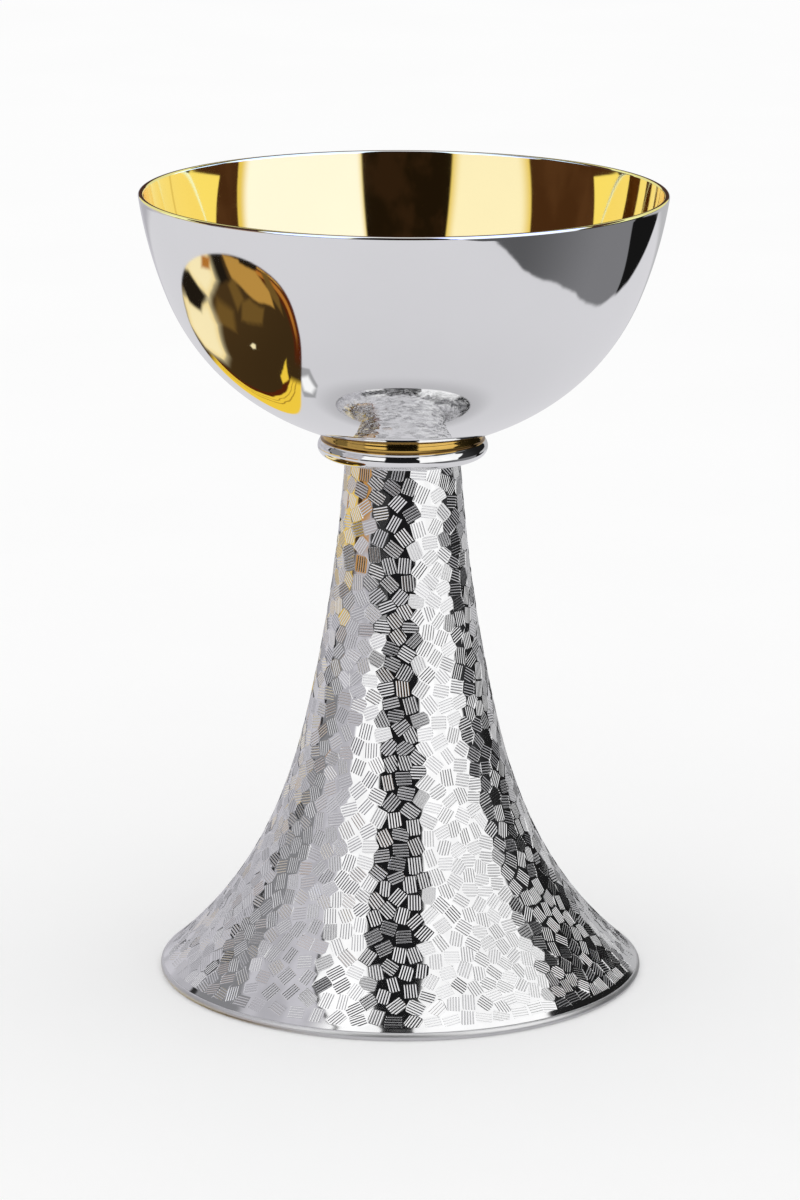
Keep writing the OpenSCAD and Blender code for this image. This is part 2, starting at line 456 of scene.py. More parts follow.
class FootMesh:
    """Gathers the foot's vertices and faces. Each face has a shade: SMOOTH takes its vertices' own normals,
    FLAT its own plane's, a tuple is one normal for the face, and a list is a normal for each corner."""

    SMOOTH, FLAT = "smooth", "flat"

    def __init__(self, skin):
        self.skin = skin
        self.verts, self.normals, self.faces, self.shades = [], [], [], []
        self.spots = []      # u and v of the cell corners, which are the first vertices

    def add_face(self, corners, shade):
        self.faces.append(corners)
        self.shades.append(shade)

    def add_corners(self, cells, centre):
        """Makes the cells' corners, welded, and returns each corner's vertex."""
        skin = self.skin
        centre = centre.copy()
        scale = np.interp(centre[:, 1], skin.v, skin.r) / MM
        for border in (skin.low, skin.high):
            close = np.abs(centre[:, 1] - border) * scale < BORDER_SNAP
            centre[:, 1] = np.where(close, border, centre[:, 1])
        v = np.clip(centre[:, 1], skin.low, skin.high)
        world = skin.place(centre[:, 0], v)
        grid, vertex = {}, {}
        for f in sorted({f for cell in cells for f in cell}):
            box = tuple(int(math.floor(x / CORNER_WELD)) for x in world[f])
            hit = None
            for step in product((-1, 0, 1), repeat=3):
                for i in grid.get(tuple(b + d for b, d in zip(box, step)), []):
                    if np.linalg.norm(self.verts[i] - world[f]) < CORNER_WELD:
                        hit = i
            if hit is None:
                hit = len(self.verts)
                grid.setdefault(box, []).append(hit)
                self.verts.append(world[f])
                self.spots.append((centre[f][0] % TURN, float(v[f])))
            vertex[f] = hit
        us, vs = np.array(self.spots).T
        self.normals = list(skin.normal(us, vs))
        return vertex

    def add_cell(self, middle, corners):
        """One cell: a punched mark with the raised line round it, or plain metal where it has no room."""
        ids = [k for k, _ in groupby(corners)]
        while len(ids) > 1 and ids[0] == ids[-1]:
            ids.pop()
        if len(ids) < 3:
            return
        u, v = middle
        r = self.skin.radius(v) / MM
        sides = []
        for k in ids:
            du = (self.spots[k][0] - u + math.pi) % TURN - math.pi
            sides.append((du * r, (self.spots[k][1] - v) * r))
        mark = self.mark_between(sides, v, r)
        points, kinds, edges = [], [], []

        def add_line(line, kind, closed=True):
            start, n = len(points), len(line)
            points.extend(line)
            kinds.extend([kind] * n)
            edges.extend((start + k, start + (k + 1) % n) for k in range(n if closed else n - 1))

        add_line(sides, "cell")
        if mark:
            shape, grooves = mark
            add_line(shape, "floor")
            for slot, valley in grooves:
                add_line(slot, "floor")
                add_line(valley, "valley", closed=False)
        made = delaunay_2d_cdt([Vector(p) for p in points], edges, [], 1, 1e-5)
        flat = np.array([tuple(p) for p in made[0]])
        source = [min(o) if o else None for o in made[3]]
        kind = ["floor" if k is None else kinds[k] for k in source]
        uu, vv = u + flat[:, 0] / r, np.clip(v + flat[:, 1] / r, self.skin.low, self.skin.high)
        at = self.skin.place(uu, vv)
        floor_normal = self.sink(at, kind, u, v) if mark else None
        own = self.skin.normal(uu, vv)
        number = []
        for k, what in enumerate(kind):
            number.append(ids[source[k]] if what == "cell" else len(self.verts))
            if what != "cell":
                self.verts.append(at[k])
                self.normals.append(own[k])
        for t in made[2]:
            face = [number[k] for k in t]
            if len(set(face)) == 3:
                self.add_face(face, self.shade_of([kind[k] for k in t], face, floor_normal))

    def mark_between(self, sides, v, r):
        room = shrink(block(CELL_LIMIT, CELL_LIMIT, 0), sides, 0.0)
        low_y, high_y = (self.skin.low - v) * r, (self.skin.high - v) * r
        room = clip(room, (0, -1), -(low_y + EDGE_GAP)) if room else []
        room = clip(room, (0, 1), high_y - TOP_GAP) if len(room) > 2 else []
        return punch(room) if len(room) > 2 and abs(size_of(room)) > LEAST_CELL else None

    def sink(self, at, kind, u, v):
        """Levels a mark's floor on a plane, with the valleys below it, and returns the plane's normal."""
        middle, up = self.skin.place(u, v), self.skin.normal(u, v)
        east = np.array([-math.sin(u), math.cos(u), 0])
        north = np.cross(up, east)
        lean = [math.radians(rng.uniform(-TILT, TILT)) for _ in range(2)]
        normal = up + east * math.tan(lean[0]) + north * math.tan(lean[1])
        normal /= np.linalg.norm(normal)
        inside = [k for k, what in enumerate(kind) if what != "cell"]
        level = float(np.percentile((at[inside] - middle) @ normal, FLOOR_RANK))
        for k in inside:
            at[k] = at[k] - normal * ((at[k] - middle) @ normal - level)
            if kind[k] == "valley":
                at[k] = at[k] - normal * GROOVE_DEEP * MM
        return normal

    def shade_of(self, kinds, face, floor_normal):
        if "cell" in kinds:
            return self.SMOOTH
        if "valley" not in kinds:
            return tuple(floor_normal)
        p, q, w = (self.verts[k] for k in face)
        wall = np.cross(q - p, w - p)
        wall = wall - floor_normal * (wall @ floor_normal)
        wall /= max(np.linalg.norm(wall), 1e-15)
        leans = [VALLEY_LEAN if kind == "valley" else WALL_LEAN for kind in kinds]
        return [tuple(floor_normal * math.cos(a) + wall * math.sin(a)) for a in leans]

    def border(self, v):
        """The cell corners on a border, in order round the axis."""
        ring = [k for k, p in enumerate(self.spots) if abs(p[1] - v) < 1e-9]
        return sorted(ring, key=lambda k: self.spots[k][0])

    def add_ring(self, us, r, z, nr, nz):
        start = len(self.verts)
        for u in us:
            self.verts.append(np.array([r * math.cos(u), r * math.sin(u), z]))
            self.normals.append(np.array([nr * math.cos(u), nr * math.sin(u), nz]))
        return list(range(start, start + len(us)))

    def bridge(self, a, b, shade):
        for k in range(len(a)):
            j = (k + 1) % len(a)
            self.add_face([a[k], a[j], b[j], b[k]], shade)

    def bridge_uneven(self, a, a_us, b, b_us):
        """Flat faces between two rings of different counts."""
        i = j = 0
        na, nb = len(a), len(b)
        while i < na or j < nb:
            next_a = a_us[(i + 1) % na] + TURN * ((i + 1) // na)
            next_b = b_us[(j + 1) % nb] + TURN * ((j + 1) // nb)
            if j >= nb or (i < na and next_a <= next_b):
                self.add_face([a[i % na], b[j % nb], a[(i + 1) % na]], self.FLAT)
                i += 1
            else:
                self.add_face([a[i % na], b[j % nb], b[(j + 1) % nb]], self.FLAT)
                j += 1

    def mesh(self, name):
        co = np.array(self.verts, float)
        # rings that meet were made twice: vertices at one place become one
        seen, keep, merged = {}, [], []
        for k, p in enumerate(np.round(co / SAME_PLACE).astype(int)):
            if tuple(p) not in seen:
                seen[tuple(p)] = len(keep)
                keep.append(k)
            merged.append(seen[tuple(p)])
        faces, corner_normals = [], []
        for face, shade in zip(self.faces, self.shades):
            corners = []
            for k in face:
                if merged[k] not in [merged[q] for q in corners]:
                    corners.append(k)
            if len(corners) < 3:
                continue
            faces.append([merged[k] for k in corners])
            if shade == self.SMOOTH:
                corner_normals += [self.normals[k] for k in corners]
            elif shade == self.FLAT:
                n = np.cross(co[corners[1]] - co[corners[0]], co[corners[2]] - co[corners[0]])
                corner_normals += [n / np.linalg.norm(n)] * len(corners)
            else:
                corner_normals += shade if isinstance(shade, list) else [shade] * len(corners)
        made = smooth_mesh(name, [tuple(co[k]) for k in keep], faces)
        made.normals_split_custom_set([Vector(n) for n in corner_normals])
        return made


def foot(name, node, body):
    """The hollow foot: punched outside, plain border, flat underside, smooth inside and flat top edge."""
    outer, inner = wall_sides(node)
    skin = FootSkin(outer)
    points = scatter(skin)
    cells, centre = voronoi(points, skin)
    made = FootMesh(skin)
    vertex = made.add_corners(cells, centre)
    for middle, cell in zip(points, cells):
        made.add_cell(middle, [vertex[f] for f in cell])

    last = made.border(skin.low)
    us = [made.spots[k][0] for k in last]
    border_s = float(np.interp(skin.low, skin.v, skin.s))
    for k in range(1, EDGE_RINGS + 1):
        ring = made.add_ring(us, *skin.section(border_s * (1 - k / EDGE_RINGS)))
        made.bridge(ring, last, made.SMOOTH)
        last = ring
    under_out = made.add_ring(us, *outer[0], 0, -1)
    under_in = made.add_ring(us, *inner[0], 0, -1)
    made.bridge(under_in, under_out, made.FLAT)
    way = np.gradient(inner, axis=0)
    way /= np.linalg.norm(way, axis=1)[:, None]
    every_other = list(range(0, len(inner) - 1, 2)) + [len(inner) - 1]
    last = None
    for j in every_other:
        ring = made.add_ring(us, *inner[j], -way[j][1], way[j][0])
        if last is not None:
            made.bridge(ring, last, made.SMOOTH)
        last = ring
    top_us = [made.spots[k][0] for k in made.border(skin.high)]
    top_in = made.add_ring(us, *inner[-1], 0, 1)
    top_out = made.add_ring(top_us, *outer[-1], 0, 1)
    made.bridge_uneven(top_in, us, top_out, top_us)
    return add_object(name, made.mesh(name), body, [node])


# ---------------- the threaded stud
THREAD_PITCH = 1.5 * MM
THREAD_DEEP = 0.92 * MM
THREAD_CHAMFER = 1.0 * MM
THREAD_RUNOUT = 1.2 * MM     # the thread fades out this far below the boss
THREAD_CREST = 0.12          # flat crest and sloping flank, as shares of half a pitch
THREAD_FLANK = 0.74
THREAD_AROUND = 96           # vertices in a ring, and the height between rings
THREAD_STEP = 0.1 * MM
THREAD_SHARP = math.radians(38)


def threaded(name, node, boss, body):
    """A right-hand thread cut into the stud, from its chamfered end up to the boss."""
    low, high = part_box(node)
    crest, end = high.x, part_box(boss)[0].z
    rows = round((high.z - low.z) / THREAD_STEP)
    verts, faces = [], []
    for i in range(rows + 1):
        z = low.z + (high.z - low.z) * i / rows
        fade = min(1, max(0, (end - z) / THREAD_RUNOUT))
        for j in range(THREAD_AROUND):
            turn = j / THREAD_AROUND
            phase = ((z - low.z) / THREAD_PITCH - turn) % 1
            rise = min(1, max(0, (abs(phase - 0.5) * 2 - THREAD_CREST) / THREAD_FLANK))
            r = crest - THREAD_DEEP * fade * (0.5 + 0.5 * math.cos(math.pi * rise))
            r = min(r, crest - THREAD_CHAMFER + (z - low.z))
            verts.append((r * math.cos(turn * TURN), r * math.sin(turn * TURN), z))
    for i in range(rows):
        below, above = i * THREAD_AROUND, (i + 1) * THREAD_AROUND
        for j in range(THREAD_AROUND):
            k = (j + 1) % THREAD_AROUND
            faces.append([below + j, below + k, above + k, above + j])
    for z, ring, order in ((low.z, 0, -1), (high.z, rows, 1)):
        verts.append((0, 0, z))
        for j in range(THREAD_AROUND):
            pair = [ring * THREAD_AROUND + j, ring * THREAD_AROUND + (j + 1) % THREAD_AROUND][::order]
            faces.append([len(verts) - 1, *pair])
    mesh = smooth_mesh(name, verts, faces)
    mesh.set_sharp_from_angle(angle=THREAD_SHARP)
    return add_object(name, mesh, body, [node])


# ---------------- pieces
base_ring = turned_node("base_ring", "foot_base_ring", "foot", 0.3 * MM)
foot_piece = foot("punched_foot", "foot_shell", "foot")
bead = turned_node("collar_bead", "silver_collar_ring", "foot", 0.25 * MM)
gilt_ring = turned_node("gilt_ring", "gilt_collar_ring", "gilt_ring", 0.2 * MM)
bowl = turned_node("bowl", "cup_shell", "cup", 0.8 * MM, closed=False, segments=384)
gilding = turned_node("gilding", "cup_lining", "cup", 0.8 * MM, closed=False, segments=384)
stud = threaded("threaded_rod", "threaded_stud", "cup_boss", "cup")


# ---------------- node helpers
class Tree:
    """Builds shader nodes. Numbers and sockets can be mixed freely in the arguments."""

    def __init__(self, tree):
        self.tree = tree
        tree.nodes.clear()

    def node(self, kind, **values):
        n = self.tree.nodes.new(kind)
        for key, value in values.items():
            setattr(n, key, value)
        return n

    def feed(self, socket, value):
        if isinstance(value, bpy.types.NodeSocket):
            self.tree.links.new(value, socket)
        elif value is not None:
            if hasattr(socket.default_value, "__len__") and not hasattr(value, "__len__"):
                value = [value] * len(socket.default_value)
            if hasattr(value, "__len__") and len(socket.default_value) == 4 and len(value) == 3:
                value = (*value, 1)
            socket.default_value = value

    def math(self, op, a, b=None, c=None):
        n = self.node("ShaderNodeMath", operation=op)
        for socket, value in zip(n.inputs, (a, b, c)):
            self.feed(socket, value)
        return n.outputs[0]

    def add(self, a, b):
        return self.math("ADD", a, b)

    def sub(self, a, b):
        return self.math("SUBTRACT", a, b)

    def mul(self, a, b):
        return self.math("MULTIPLY", a, b)

    def step(self, x, lo, hi, out_lo=0.0, out_hi=1.0):
        """out_lo below lo, out_hi above hi, smooth in between."""
        n = self.node("ShaderNodeMapRange", interpolation_type="SMOOTHSTEP")
        for socket, value in zip(n.inputs, (x, lo, hi, out_lo, out_hi)):
            self.feed(socket, value)
        return n.outputs[0]

    def edge(self, x, at, soft):
        """0 below at, 1 above it, over a width of soft. at may be a socket."""
        return self.step(self.sub(x, at), -soft / 2, soft / 2)

    def below(self, x, at, soft):
        return self.sub(1, self.edge(x, at, soft))

    def band(self, x, lo, hi, soft):
        return self.mul(self.edge(x, lo, soft), self.below(x, hi, soft))

    def mix(self, share, a, b):
        n = self.node("ShaderNodeMix", data_type="RGBA")
        n.clamp_factor = True
        self.feed(n.inputs[0], share)
        self.feed(n.inputs[6], a)
        self.feed(n.inputs[7], b)
        return n.outputs[2]

    def over(self, base, colour, share, *shares):
        """base with colour over it, by the product of the shares."""
        for more in shares:
            share = self.mul(share, more)
        return self.mix(share, base, colour)

    def noise(self, vector, scale, detail=3.0, rough=0.5):
        n = self.node("ShaderNodeTexNoise")
        self.feed(n.inputs["Vector"], vector)
        n.inputs["Scale"].default_value = scale
        n.inputs["Detail"].default_value = detail
        n.inputs["Roughness"].default_value = rough
        return n.outputs["Fac"]

    def parts(self, vector):
        n = self.node("ShaderNodeSeparateXYZ")
        self.feed(n.inputs[0], vector)
        return n.outputs

    def join(self, x, y, z):
        n = self.node("ShaderNodeCombineXYZ")
        for socket, value in zip(n.inputs, (x, y, z)):
            self.feed(socket, value)
        return n.outputs[0]

    def dot(self, a, b):
        n = self.node("ShaderNodeVectorMath", operation="DOT_PRODUCT")
        self.feed(n.inputs[0], a)
        self.feed(n.inputs[1], b)
        return n.outputs["Value"]

    def scaled(self, vector, by):
        n = self.node("ShaderNodeVectorMath", operation="SCALE")
        self.feed(n.inputs[0], vector)
        self.feed(n.inputs["Scale"], by)
        return n.outputs[0]

    def length(self, a, b):
        return self.math("SQRT", self.add(self.mul(a, a), self.mul(b, b)))

    def glow(self, colour):
        n = self.node("ShaderNodeEmission")
        self.feed(n.inputs[0], colour)
        return n

    def finish(self, shader, kind="Material"):
        out = self.node("ShaderNodeOutput" + kind)
        self.tree.links.new(shader.outputs[0], out.inputs[0])

    def finish_between(self, share, a, b):
        """Ends the material with shader a where share is 0 and b where it is 1."""
        pick = self.node("ShaderNodeMixShader")
        self.feed(pick.inputs[0], share)
        self.tree.links.new(a.outputs[0], pick.inputs[1])
        self.tree.links.new(b.outputs[0], pick.inputs[2])
        self.finish(pick)


def material(name):
    m = bpy.data.materials.new(name)
    m.use_nodes = True
    return m, Tree(m.node_tree)


# ---------------- materials
BUMP_DEEP = 0.00002
LATHE_LINES = 900    # fine marks in a metre along the section, of the lathe and the polishing wheel
RUBBED = 0.93        # metal is this much darker where it is rubbed less


def metal(name, colour, rough, patchy, smear, bump, hollow_shade=None):
    """patchy: how much the rubbing shows; smear: how much rougher the worn places are.
    the hollow's painted shade: its height, half width and colour."""
    m, t = material(name)
    where = t.node("ShaderNodeTexCoord").outputs["Object"]
    broad = t.noise(where, 22.0, 4, 0.55)
    fine = t.noise(where, 260.0, 3, 0.6)
    x, y, z = t.parts(where)
    # polishing marks run round the axis
    turn, radius = t.math("ARCTAN2", y, x), t.length(x, y)
    lathe = t.noise(t.join(t.mul(turn, 0.6), t.mul(z, LATHE_LINES), t.mul(radius, LATHE_LINES)), 1.0, 3, 0.6)
    base = t.mix(t.mul(t.step(broad, 0.35, 0.7), patchy), colour, [c * RUBBED for c in colour])
    if hollow_shade:
        at, wide, shade_colour = hollow_shade
        # painted shade: a dark band round the hollow's height, unevenly strong
        off = t.math("ABSOLUTE", t.sub(z, at))
        left = t.step(t.noise(where, 60.0, 2, 0.5), 0.2, 0.6, 0.55, 0.95)
        base = t.mix(t.mul(t.step(off, wide, wide * 0.1), left), base, shade_colour)
    bsdf = t.node("ShaderNodeBsdfPrincipled")
    bsdf.inputs["Metallic"].default_value = 1.0
    t.feed(bsdf.inputs["Base Color"], base)
    roughness = t.add(rough, t.mul(t.step(broad, 0.45, 0.75), smear))
    roughness = t.add(roughness, t.mul(t.step(lathe, 0.55, 0.8), smear * 0.8))
    t.feed(bsdf.inputs["Roughness"], roughness)
    marks = t.node("ShaderNodeBump")
    marks.inputs["Strength"].default_value = bump
    marks.inputs["Distance"].default_value = BUMP_DEEP
    t.feed(marks.inputs["Height"], t.add(t.mul(lathe, 0.6), t.mul(fine, 0.4)))
    t.feed(bsdf.inputs["Normal"], marks.outputs["Normal"])
    t.finish(bsdf)
    return m


def paint(data, metal_of):
    data.materials.clear()
    data.materials.append(metal_of)


SILVER = (0.93, 0.93, 0.935)
silver = metal("mirror_silver", SILVER, 0.03, 0.3, 0.03, 0.05)
punched = metal("punched_silver", SILVER, 0.06, 0.4, 0.05, 0.06)
satin = metal("satin_silver", SILVER, 0.42, 0.4, 0.08, 0.12)
gilt = metal("gilt", (0.97, 0.73, 0.29), 0.035, 0.3, 0.03, 0.05)
ring_low, ring_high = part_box("gilt_collar_ring")
hollow_z = 0.46 * ring_low.z + 0.54 * ring_high.z
# the gilt collar ring: the gilt made darker as painted shade of its recessed cove, with a band of painted
# shade in the hollow
shaded_gilt = metal("shaded_gilt", (0.74, 0.47, 0.12), 0.09, 0.4, 0.06, 0.10,
                  hollow_shade=(hollow_z, 0.42 * MM, (0.10, 0.035, 0.008)))
brass = metal("turned_brass", (0.80, 0.62, 0.30), 0.18, 0.6, 0.12, 0.4)
steel = metal("steel_stud", (0.56, 0.56, 0.57), 0.22, 0.6, 0.12, 0.3)

for piece, look in ((base_ring, satin), (foot_piece, punched), (bead, silver), (gilt_ring, shaded_gilt),
                    (bowl, silver), (gilding, gilt), (stud, steel)):
    paint(piece.data, look)
for node in ("neck_bush", "cup_boss"):
    paint(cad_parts[node].data, brass)


# ---------------- studio
# Polished metal shows its surroundings, so the studio is described by direction: azimuth 0 is towards the
# camera and grows to the right, elevation is above the horizon, both in degrees. The angles below draw the
# sheets, gaps and plates that the metal in the photo shows.
DEG = 180 / math.pi
HORIZON = -14
WALL = (1.10, 1.10, 1.10)
LEFT_SHEET = (0.60, 0.59, 0.63)
TABLE = (0.70, 0.695, 0.72)
DEEP = (0.010, 0.010, 0.011)
SEAM, FOLD, FOLD_SEAM = (0.05, 0.05, 0.05), (0.23, 0.23, 0.24), (0.02, 0.02, 0.02)
PLATE_GOLD, PLATE_BROWN, PLATE_ORANGE = (0.80, 0.56, 0.14), (0.05, 0.025, 0.010), (0.50, 0.25, 0.065)
PLATE_DARK = (0.035, 0.035, 0.036)
PANEL, PANEL_DEEP, PAST_PANEL = (0.035, 0.035, 0.037), (0.012, 0.012, 0.012), (0.50, 0.50, 0.51)
ROOM_NEAR, ROOM_FAR, ROOM_BLACK = (0.10, 0.10, 0.105), (0.20, 0.20, 0.21), (0.008, 0.008, 0.008)

# a gilt dish beside the chalice, seen only in the polished bowl: the cone of directions it fills
DISH_AXIS = (-0.6597, 0.3058, -0.6865)
DISH_LONG, DISH_SHORT = (0.3436, 0.9351, 0.0863), (-0.6684, 0.1790, 0.7220)
DISH_HALF = (0.826, 0.3265)
DISH_BASE = (0.046, 0.025, 0.008)
AMBER, DIM_AMBER, BROWN_LINE = (0.50, 0.27, 0.055), (0.16, 0.088, 0.020), (0.30, 0.15, 0.015)
ORANGE, MAROON, YELLOW = (0.46, 0.17, 0.025), (0.085, 0.016, 0.004), (0.92, 0.62, 0.055)
GOLD, CREAM, BLACK = (0.86, 0.60, 0.16), (1.0, 0.86, 0.50), (0.014, 0.010, 0.006)
LOW_GLARE = ((0.57, 0.10), (0.79, 0.32), (0.74, 0.56), (0.52, 0.80), (0.07, 0.66), (0.11, 0.44), (0.39, 0.12))
TOP_GLARE = ((0.24, 0.98), (0.02, 1.16), (-0.20, 1.04), (-0.18, 0.76), (0.02, 0.69))
# what shows in it, painted reflections and highlights: colour, softness, corners, where 1 is the dish's edge
# along each axis
DISH_MARKS = (
    (DIM_AMBER, 0.05, ((0.10, 0.50), (-0.10, 0.62), (-0.22, 0.40), (-0.08, 0.22))),
    (DIM_AMBER, 0.03, ((-0.32, 0.62), (-0.44, 0.66), (-0.42, 0.36), (-0.28, 0.36))),
    (DIM_AMBER, 0.03, ((-0.38, 0.36), (-0.50, 0.30), (-0.60, 0.05), (-0.46, -0.02), (-0.26, 0.26))),
    (AMBER, 0.02, ((-0.42, 0.95), (-0.72, 0.66), (-0.80, 0.10), (-0.72, -0.10), (-0.52, 0.32),
                   (-0.42, 0.66))),
    (BLACK, 0.02, ((-0.62, 0.85), (-0.82, 0.50), (-0.76, 0.46), (-0.60, 0.72))),
    (DIM_AMBER, 0.02, ((-0.79, 0.45), (-0.90, 0.30), (-0.86, -0.10), (-0.72, -0.38), (-0.78, 0.05))),
    (BLACK, 0.03, ((-0.20, 1.08), (-0.40, 1.02), (-0.36, 0.66), (-0.20, 0.70))),
    (GOLD, 0.02, LOW_GLARE), (CREAM, 0.11, LOW_GLARE), (GOLD, 0.02, TOP_GLARE), (CREAM, 0.09, TOP_GLARE),
    (BLACK, 0.03, ((0.44, 0.74), (0.42, 0.98), (0.20, 0.96), (0.06, 0.71), (0.26, 0.65))),
    (ORANGE, 0.03, ((-0.05, 0.94), (-0.12, 1.05), (-0.22, 0.98), (-0.16, 0.88))),
    (YELLOW, 0.015, ((-0.27, -0.66), (0.0, -0.76), (0.13, -0.68), (0.02, -0.63))),
    (CREAM, 0.015, ((-0.09, -0.12), (-0.10, -0.06), (-0.15, -0.07), (-0.16, -0.12), (-0.12, -0.15))),
)
# the dish's own foot, which peeps out beyond its near end, grey with a painted white highlight
DISH_FOOT = (
    ((0.36, 0.36, 0.37), 0.02, ((-0.28, -0.90), (-0.32, -1.10), (-0.10, -1.25), (0.14, -1.16),
                                (0.20, -0.98))),
    ((1.0, 1.0, 1.0), 0.04, ((-0.12, -0.95), (-0.20, -1.08), (-0.04, -1.20), (0.08, -1.12), (0.08, -1.0))),
)


def azimuth(t, x, y):
    return t.mul(t.math("ARCTAN2", x, t.mul(y, -1)), DEG)


def bearings(t, way):
    x, y, z = t.parts(way)
    return azimuth(t, x, y), t.mul(t.math("ARCSINE", z), DEG)


def varied(t, cloud, colour, to, lo=0.3, hi=0.7):
    """A colour that drifts with the cloud towards a share of itself."""
    return t.mix(t.step(cloud, lo, hi), colour, [c * to for c in colour])


def patch(t, p, q, corners, soft):
    """1 inside a convex polygon whose corners run anticlockwise, 0 outside."""
    depth = None
    for (p0, q0), (p1, q1) in zip(corners, corners[1:] + corners[:1]):
        long = math.hypot(p1 - p0, q1 - q0)
        side = t.add(t.mul(q, (p1 - p0) / long), t.mul(p, (q0 - q1) / long))
        side = t.add(side, (p0 * (q1 - q0) - q0 * (p1 - p0)) / long)
        depth = side if depth is None else t.math("MINIMUM", depth, side)
    return t.step(depth, -soft, soft)


def dish(t, way, table):
    """The table with the gilt dish in front of it."""
    depth = t.dot(way, DISH_AXIS)
    wobble = t.mul(t.sub(t.noise(way, 9.0, 2, 0.5), 0.5), 0.05)
    p = t.math("DIVIDE", t.mul(t.dot(way, DISH_LONG), 1 / DISH_HALF[0]), depth)
    q = t.math("DIVIDE", t.mul(t.dot(way, DISH_SHORT), 1 / DISH_HALF[1]), depth)
    # not quite an ellipse: three slight lobes
    lobes = t.math("COSINE", t.sub(t.mul(t.math("ARCTAN2", q, p), 3), math.radians(300)))
    size = t.math("DIVIDE", t.length(p, q), t.add(1, t.mul(lobes, 0.045)))
    wp, wq = t.add(p, wobble), t.sub(q, wobble)
    look = t.mix(t.step(wq, -0.6, 0.8), DISH_BASE, [c * 1.4 for c in DISH_BASE])
    # the far lip glows orange
    far = t.mul(t.step(wp, -0.20, -0.50), t.step(wq, 0.75, 0.45))
    look = t.over(look, MAROON, t.edge(size, 0.86, 0.05), far)
    glow = t.mul(t.band(size, 0.90, 0.945, 0.02), t.mul(far, t.step(wq, -0.85, -0.45)))
    look = t.mix(glow, look, ORANGE)
    look = t.over(look, AMBER, t.band(size, 0.965, 0.985, 0.01), t.mul(far, t.step(wq, -0.2, 0.1)))
    # the near lip is yellow, with fine brown lines
    off = t.length(t.add(wp, 0.10), t.sub(wq, 0.08))
    near = t.mul(t.step(wp, -0.10, 0.05), t.step(wq, 0.28, 0.15))
    look = t.over(look, MAROON, t.edge(off, 0.80, 0.02), near)
    look = t.over(look, YELLOW, t.edge(off, 0.865, 0.02), near)
    for lo, hi in ((0.905, 0.915), (0.955, 0.97)):
        look = t.over(look, BROWN_LINE, t.band(off, lo, hi, 0.006), t.mul(near, 0.8))
    for colour, soft, corners in DISH_MARKS:
        look = t.mix(patch(t, wp, wq, corners, soft), look, colour)
    front = t.step(depth, 0.0, 0.05)
    for colour, soft, corners in DISH_FOOT:
        table = t.over(table, colour, patch(t, p, q, corners, soft), front)
    return t.over(table, look, t.step(size, 1.015, 0.985), front)


def left_side(t, az, el, cloud, sky):
    """A dimmer lavender sheet with thin dark seams, and a grey fold further round."""
    left_edge = t.add(t.step(el, 3, 7, -47, -57), t.step(el, 35, 62, 0, -13))
    grey = t.mul(t.below(az, left_edge, 3), t.below(el, 68, 8))
    sky = t.mix(grey, sky, varied(t, cloud, LEFT_SHEET, 0.75, 0.35, 0.65))
    seam = t.band(az, t.sub(left_edge, 3), left_edge, 2)
    sky = t.over(sky, SEAM, seam, t.band(el, 38, 76, 10))
    fold = t.add(t.step(el, 0, 10, -110, -118), t.step(el, 15, 32, 0, -14))
    fold_end = t.add(-88, t.step(el, 10, 50, 0, -26))
    sky = t.over(sky, FOLD, t.band(az, fold, fold_end, 4), t.band(el, -7, 62, 8))
    fold_seam = t.band(az, t.sub(fold, 4.5), fold, 1.5)
    return t.over(sky, FOLD_SEAM, fold_seam, t.band(el, -7, 60, 4))


def other_plate(t, az, el, sky):
    """Gilt and dark plate close to the horizon on the left, which shows in first reflections only."""
    first = t.step(t.node("ShaderNodeLightPath").outputs["Glossy Depth"], 1.8, 1.2)
    low_left = t.mul(t.band(el, -11, -3.3, 2), first)
    gilt_from = t.add(-100, t.mul(t.math("MINIMUM", t.add(el, 4.8), 0), 8.5))
    for lo, hi, soft, colour in ((gilt_from, -92, 3, PLATE_GOLD), (-93, -82, 2, PLATE_BROWN),
                                 (-82, -62, 3, PLATE_ORANGE)):
        sky = t.over(sky, colour, t.band(az, lo, hi, soft), low_left)
    dark_from = t.step(el, -4, 3, -59, -47)
    return t.over(sky, PLATE_DARK, t.band(az, dark_from, -20, 3), t.band(el, -11, 2.7, 2.5))


def right_side(t, az, el, sky):
    """A dark panel, then grey."""
    panel_lo = t.add(80, t.mul(t.math("MAXIMUM", el, 0), 0.58))
    panel_hi = t.add(t.step(el, -9, 2, 128, 147), t.step(el, 2, 9, 0, 4))
    sky = t.mix(t.edge(az, panel_hi, 3), sky, PAST_PANEL)
    shade = t.mix(t.step(az, 85, 125), PANEL, PANEL_DEEP)
    return t.mix(t.band(az, panel_lo, panel_hi, 3), sky, shade)


def camera_gap(t, az, el, sky):
    """The dark gap that the camera looks through."""
    gap_lo = t.step(el, 25, 45, -24, -28.5)
    gap_hi = t.step(el, 15, 30, 23, 20.5)
    return t.over(sky, DEEP, t.band(az, gap_lo, gap_hi, 2.5), t.below(el, 82, 4))


def table_top(t, az, el):
    """The table, with its uneven edge and the dark room beyond it on the right."""
    low = t.mix(t.step(el, -80, -20), [c * 0.93 for c in TABLE], TABLE)
    uneven = t.mul(t.sub(t.noise(t.join(t.mul(az, 0.09), 0, 0), 1.0, 2, 0.5), 0.5), 2.0)
    rise = t.math("MAXIMUM", t.mul(t.sub(az, 98), 1 / 50), 0)
    edge_at = t.add(t.step(az, 66, 36, -33.8, -26.0), t.step(az, 38, 14, 0, 12.5))
    edge_at = t.add(t.add(edge_at, t.mul(t.mul(rise, rise), 19.5)), uneven)
    beyond = t.mix(t.step(az, 50, 105), ROOM_NEAR, ROOM_FAR)
    black_from = t.step(el, -18, -26, 121, 127.5)
    beyond = t.mix(t.edge(az, black_from, 1.2), beyond, ROOM_BLACK)
    return t.over(low, beyond, t.band(az, 8, 148, 3), t.edge(el, edge_at, 1.0))


